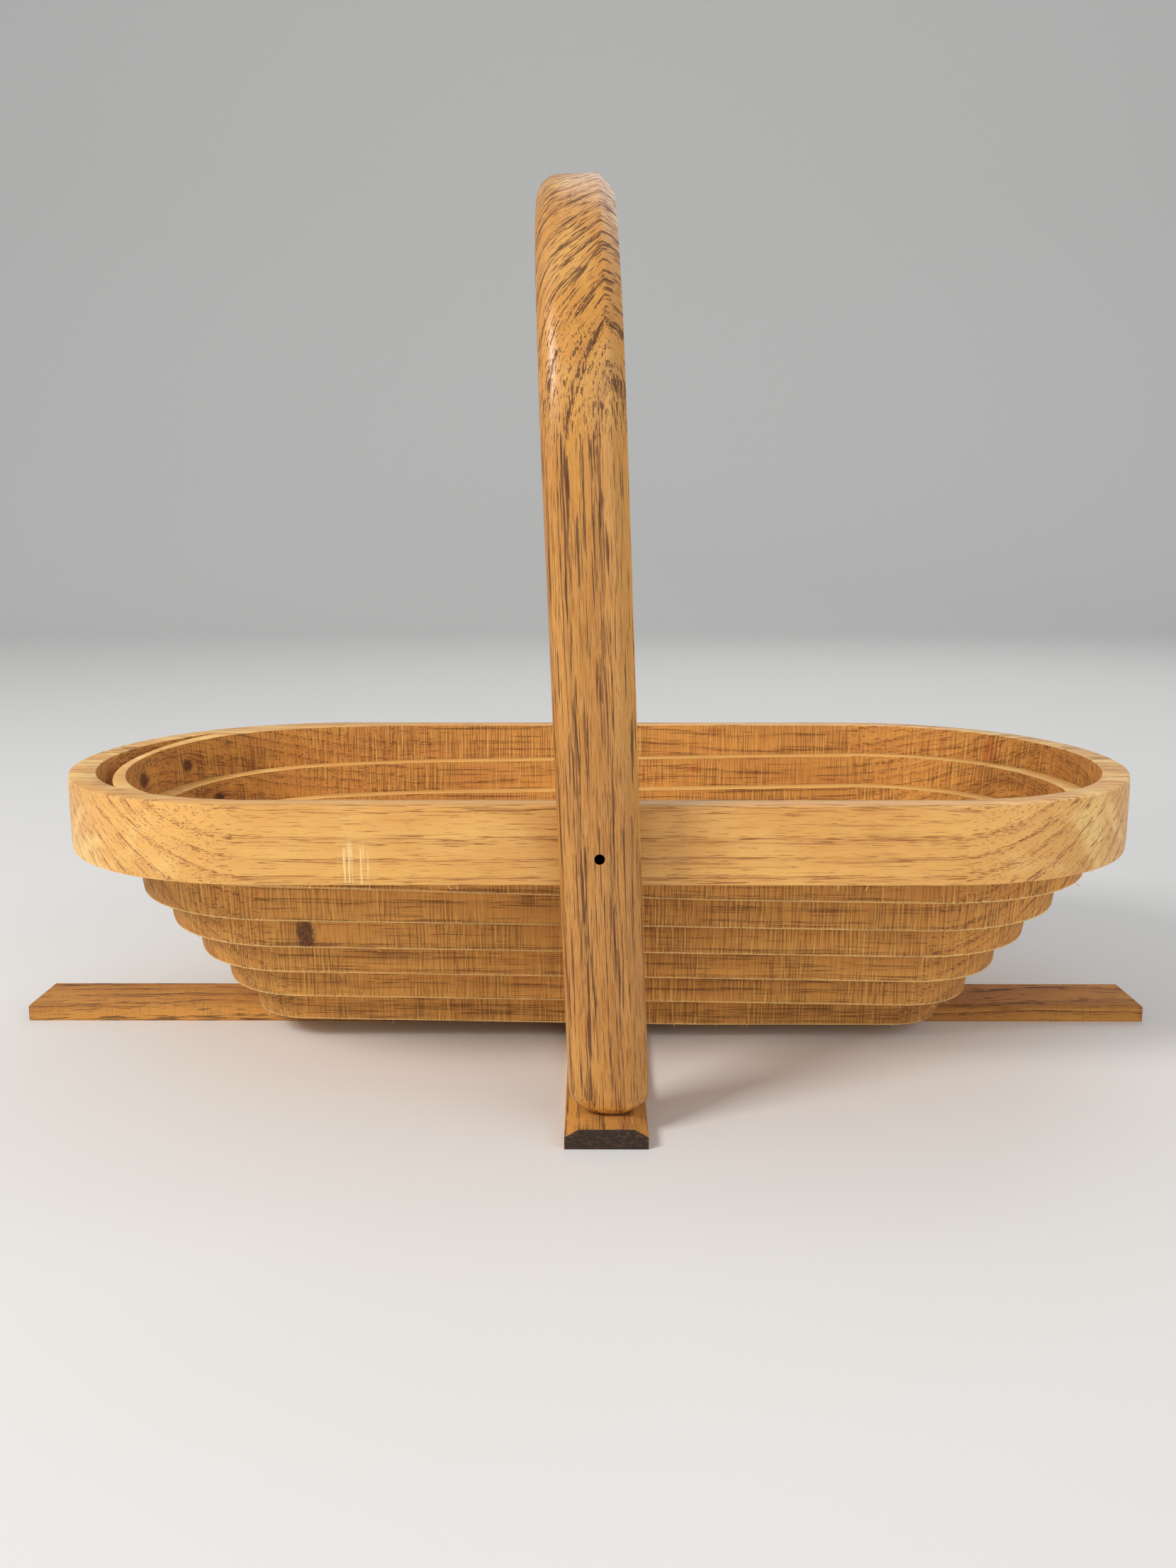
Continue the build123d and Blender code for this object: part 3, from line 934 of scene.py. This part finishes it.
def edge_corner(radius, flat, half, depth):
    """Points of one rounded edge of the handle's section, a share of the curve planed flat."""
    corner = []
    for step in range(EDGE_STEPS + 1):
        done = step / EDGE_STEPS
        a = done * pi / 2
        inward = radius * (1 - cos(a) * (1 - flat) - (1 - done) * flat)
        back = radius * (1 - sin(a) * (1 - flat) - done * flat)
        corner.append((half - inward, depth / 2 - back))
    return corner


def handle_ring(half, depth, low):
    """Closed section of the handle: across the board, and out from its middle line."""
    trim_left, trim_right = foot_trim(low, *FOOT_LEFT), foot_trim(low, *FOOT_RIGHT)
    tuck = foot_trim(low, SOLE_R, SOLE_R)
    ring = []
    for side, out in ((1, 1), (1, -1), (-1, -1), (-1, 1)):
        radius, trim = (EDGE_R, trim_right) if side > 0 else (EDGE_LEFT_R, trim_left)
        corner = edge_corner(radius, FACET if side > 0 and out > 0 else 0.0, half, depth)
        if side == out:
            corner.reverse()
        ring += [(side * (w - trim), out * (d - tuck)) for w, d in corner]
    return ring


def handle_stations():
    """Places along the arch as (run, share), close together at the feet."""
    sole = [k / FOOT_STEPS * FOOT_SHARE for k in range(FOOT_STEPS)]
    stations = [(run, i / n) for run, n in enumerate(ARCH_COUNTS) for i in range(n)]
    stations = [(run, share) for run, share in stations[1:] if run != 4 or share < 1 - FOOT_SHARE]
    return sorted(stations + [(0, share) for share in sole] + [(4, 1 - share) for share in sole])


def handle_piece():
    """The bent arch, leaning back a little, its section rounded unevenly by hand."""
    leg = (PIVOT_Z - BAR_TOP - FOOT_GAP) / cos(LEAN_BACK)
    half_l, half_w = HALF_L + HANDLE_GAP, HALF_W + HANDLE_GAP
    inner = arch_runs(half_l, half_w, CORNER_R + HANDLE_GAP, END_R + HANDLE_GAP, leg)
    outer = arch_runs(half_l + CROWN_T, half_w + LEG_T, OUTER_CORNER_R, OUTER_END_R, leg)
    half = BOARD_T / 2 - SANDED_OFF
    stations = handle_stations()
    verts, board, ring = [], [], []
    for run, share in stations:
        (iz, iy), (oz, oy) = inner(run, share), outer(run, share)
        low = min(leg + iz, leg + oz) if run in (0, 4) else leg
        depth = sqrt((oz - iz) ** 2 + (oy - iy) ** 2)
        ring = handle_ring(half, depth, low)
        for w, d in ring:
            share_out = 0.5 + d / depth
            z = iz + (oz - iz) * share_out
            y = iy + (oy - iy) * share_out
            along = z * HAND_WAVE_ALONG, y * HAND_WAVE_ALONG
            across = w + HAND_WAVE * smooth_wave(*along, w * HAND_WAVE_ACROSS, seed=12.0)
            verts.append((
                SHIFT + across * cos(LEAN_BACK) - z * sin(LEAN_BACK), y,
                PIVOT_Z + z * cos(LEAN_BACK) + across * sin(LEAN_BACK),
            ))
            board.append((-z + SHIFT, y, w + half))
    faces = tube_faces(len(stations), len(ring), inside_out=True)
    return new_object("Handle", verts, faces, [0] * len(faces), board, [handle_oak])


handle = handle_piece()
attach(handle, "handle")
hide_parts("handle")


# Bars, nails and screws keep their solids

for node, material in (
    ("long_foot_bar", long_bar_oak), ("short_foot_bar", short_bar_oak),
    ("pivot_nails", nail_steel), ("foot_screws", nail_steel),
):
    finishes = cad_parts[node].data.materials
    finishes.clear()
    finishes.append(material)


# Floor, light and camera

LIGHTS_AIM = (0, 0, 0.08)


def add_floor():
    """Pale floor that curves up into a backdrop far behind."""
    bend, wall, height, half, steps = 0.9, 2.6, 3.2, 6.0, 16
    angles = [pi / 2 * k / steps for k in range(1, steps + 1)]
    profile = [(-half, 0.0), (wall - bend, 0.0)]
    profile += [(wall - bend + bend * sin(a), bend - bend * cos(a)) for a in angles]
    profile.append((wall, height))
    verts = [(x, y, z) for y, z in profile for x in (-half, half)]
    faces = [(2 * i, 2 * i + 1, 2 * i + 3, 2 * i + 2) for i in range(len(profile) - 1)]
    mesh = bpy.data.meshes.new("Floor")
    mesh.from_pydata(verts, [], faces)
    mesh.polygons.foreach_set("use_smooth", [True] * len(faces))
    material, _, shader = new_material("Floor")
    shader.inputs["Base Color"].default_value = colour(222, 221, 219)
    shader.inputs["Roughness"].default_value = 0.75
    mesh.materials.append(material)
    floor_obj = bpy.data.objects.new("Floor", mesh)
    bpy.context.scene.collection.objects.link(floor_obj)


def add_area(name, place, size, power, tint=(1, 1, 1)):
    """A soft square light turned towards the basket."""
    light = bpy.data.lights.new(name, "AREA")
    light.size = size
    light.energy = power
    light.color = tint
    obj = bpy.data.objects.new(name, light)
    obj.location = place
    obj.rotation_euler = (Vector(LIGHTS_AIM) - Vector(place)).to_track_quat("-Z", "Y").to_euler()
    bpy.context.scene.collection.objects.link(obj)


add_floor()
add_area("Key", (-0.9, -0.7, 0.9), size=0.4, power=13.5, tint=(1.0, 0.97, 0.93))
add_area("Fill", (1.0, -1.0, 0.6), size=1.2, power=6.0, tint=(0.96, 0.98, 1.0))
add_area("Back", (0.4, 1.0, 1.1), size=1.0, power=3.6)

world = bpy.data.worlds.new("Studio")
world.use_nodes = True
background = world.node_tree.nodes["Background"].inputs
background["Color"].default_value = (0.86, 0.88, 0.9, 1.0)
background["Strength"].default_value = 0.6

camera_data = bpy.data.cameras.new("Camera")
camera_data.sensor_fit = "HORIZONTAL"
camera_data.sensor_width = SENSOR_MM
camera_data.lens = FOCAL_PX / PHOTO_W * SENSOR_MM
camera = bpy.data.objects.new("Camera", camera_data)
camera.location = Vector(CAMERA_MM) * MM
camera.rotation_euler = (pi / 2 - TILT_DOWN, 0.0, YAW)

scene = bpy.context.scene
scene.world = world
scene.collection.objects.link(camera)
scene.camera = camera
scene.view_settings.view_transform = "Standard"
